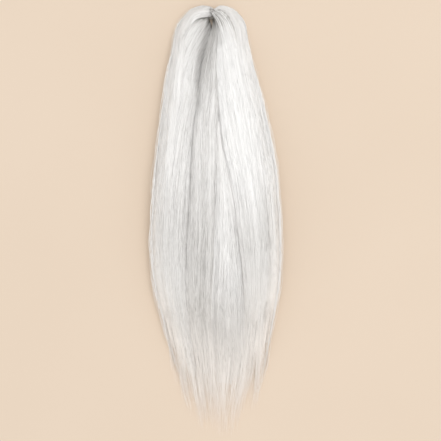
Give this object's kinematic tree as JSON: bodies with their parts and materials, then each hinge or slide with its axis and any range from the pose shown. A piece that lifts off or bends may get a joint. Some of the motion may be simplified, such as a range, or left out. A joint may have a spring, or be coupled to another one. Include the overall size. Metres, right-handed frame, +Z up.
{
  "type": "bundle of braiding hair",
  "caption": "Hank of loose silver-white braiding fibre, folded at its middle into falls of locks that taper to wispy tips, lying flat.",
  "frame": {"origin": "on the surface that the bundle lies on, under the middle of its box", "axes": "+Z up from that surface, +Y along the bundle towards the fold, +X towards the right-hand fall"},
  "size_m": [0.185, 0.61, 0.0548],
  "materials": {
    "silver_hair": "fine straight synthetic fibre with a soft satin sheen"
  },
  "bodies": {
    "root": {"fold_waist": "silver_hair", "left_fall": "silver_hair", "middle_fall": "silver_hair", "inner_fall": "silver_hair", "right_fall": "silver_hair"}
  },
  "joints": []
}
